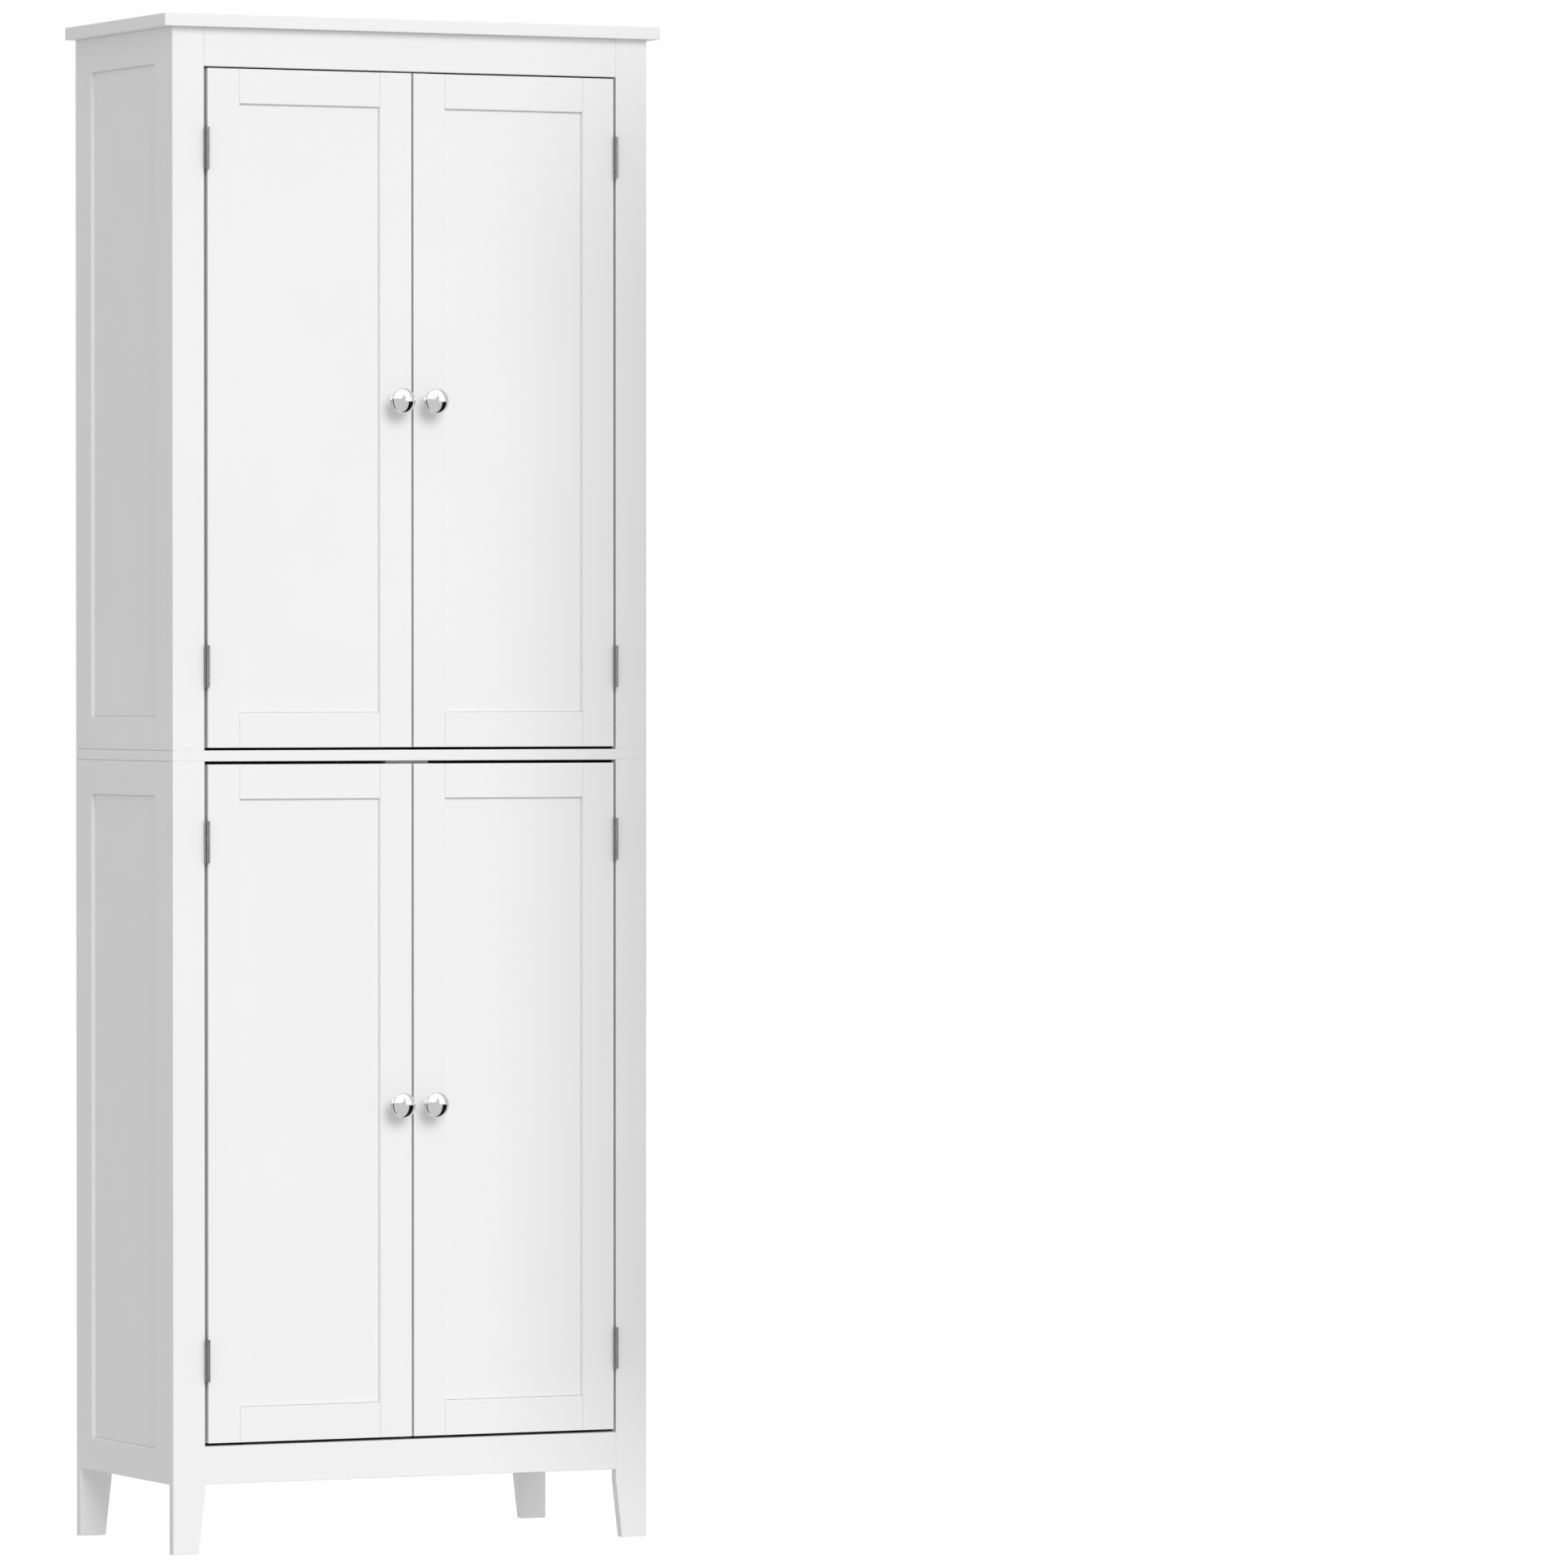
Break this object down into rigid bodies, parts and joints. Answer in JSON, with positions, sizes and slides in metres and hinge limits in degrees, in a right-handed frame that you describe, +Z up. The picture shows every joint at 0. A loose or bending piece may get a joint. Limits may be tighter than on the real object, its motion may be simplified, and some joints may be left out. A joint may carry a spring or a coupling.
{
  "type": "pantry cabinet",
  "caption": "Tall free-standing pantry cabinet on tapered legs: an upper and a lower cupboard with hinged frame-and-panel doors over inner shelves, held shut by magnets.",
  "frame": {"origin": "on the floor, under the middle of the box round the whole cabinet with its knobs", "axes": "+Z up, +X to the right seen from the front, +Y from the doors to the back"},
  "size_m": [0.6, 0.3186, 1.7],
  "materials": {
    "white_board": "satin white paint on fibreboard",
    "back_sheet": "matt white coated hardboard",
    "hinge_steel": "satin nickel plate",
    "knob_chrome": "polished",
    "catch_plastic": "smooth white"
  },
  "bodies": {
    "carcass": {"bottom_board": "white_board", "bottom_rail": "white_board", "catch_cleat": "white_board", "lower_back_sheet_left": "back_sheet", "lower_back_sheet_right": "back_sheet", "lower_front_leg_left": "white_board", "lower_front_leg_right": "white_board", "lower_high_hinge_left_frame_leaf": "hinge_steel", "lower_high_hinge_right_frame_leaf": "hinge_steel", "lower_low_hinge_left_frame_leaf": "hinge_steel", "lower_low_hinge_right_frame_leaf": "hinge_steel", "lower_magnetic_catch": "catch_plastic", "lower_rear_leg_left": "white_board", "lower_rear_leg_right": "white_board", "lower_shelf_1": "white_board", "lower_shelf_2": "white_board", "lower_side_frame_left": "white_board", "lower_side_frame_right": "white_board", "lower_side_panel_left": "white_board", "lower_side_panel_right": "white_board", "mid_board": "white_board", "top_board": "white_board", "top_rail": "white_board", "upper_back_sheet_left": "back_sheet", "upper_back_sheet_right": "back_sheet", "upper_front_stile_left": "white_board", "upper_front_stile_right": "white_board", "upper_high_hinge_left_frame_leaf": "hinge_steel", "upper_high_hinge_right_frame_leaf": "hinge_steel", "upper_low_hinge_left_frame_leaf": "hinge_steel", "upper_low_hinge_right_frame_leaf": "hinge_steel", "upper_magnetic_catch": "catch_plastic", "upper_rear_stile_left": "white_board", "upper_rear_stile_right": "white_board", "upper_shelf_1": "white_board", "upper_shelf_2": "white_board", "upper_side_frame_left": "white_board", "upper_side_frame_right": "white_board", "upper_side_panel_left": "white_board", "upper_side_panel_right": "white_board"},
    "upper_left_door": {"upper_door_frame_left": "white_board", "upper_door_panel_left": "white_board", "upper_knob_left": "knob_chrome", "upper_low_hinge_left_door_leaf": "hinge_steel", "upper_high_hinge_left_door_leaf": "hinge_steel"},
    "upper_right_door": {"upper_door_frame_right": "white_board", "upper_door_panel_right": "white_board", "upper_knob_right": "knob_chrome", "upper_low_hinge_right_door_leaf": "hinge_steel", "upper_high_hinge_right_door_leaf": "hinge_steel"},
    "lower_left_door": {"lower_door_frame_left": "white_board", "lower_door_panel_left": "white_board", "lower_knob_left": "knob_chrome", "lower_low_hinge_left_door_leaf": "hinge_steel", "lower_high_hinge_left_door_leaf": "hinge_steel"},
    "lower_right_door": {"lower_door_frame_right": "white_board", "lower_door_panel_right": "white_board", "lower_knob_right": "knob_chrome", "lower_low_hinge_right_door_leaf": "hinge_steel", "lower_high_hinge_right_door_leaf": "hinge_steel"}
  },
  "joints": [
    {"name": "upper_left_door_hinge", "type": "hinge", "parent": "carcass", "child": "upper_left_door", "pos_m": [-0.24775, -0.13475, 1.266], "axis": [0, 0, -1], "range_deg": [0, 175]},
    {"name": "upper_right_door_hinge", "type": "hinge", "parent": "carcass", "child": "upper_right_door", "pos_m": [0.24775, -0.13475, 1.266], "axis": [0, 0, 1], "range_deg": [0, 175]},
    {"name": "lower_left_door_hinge", "type": "hinge", "parent": "carcass", "child": "lower_left_door", "pos_m": [-0.24775, -0.13475, 0.4975], "axis": [0, 0, -1], "range_deg": [0, 175]},
    {"name": "lower_right_door_hinge", "type": "hinge", "parent": "carcass", "child": "lower_right_door", "pos_m": [0.24775, -0.13475, 0.4975], "axis": [0, 0, 1], "range_deg": [0, 175]}
  ]
}
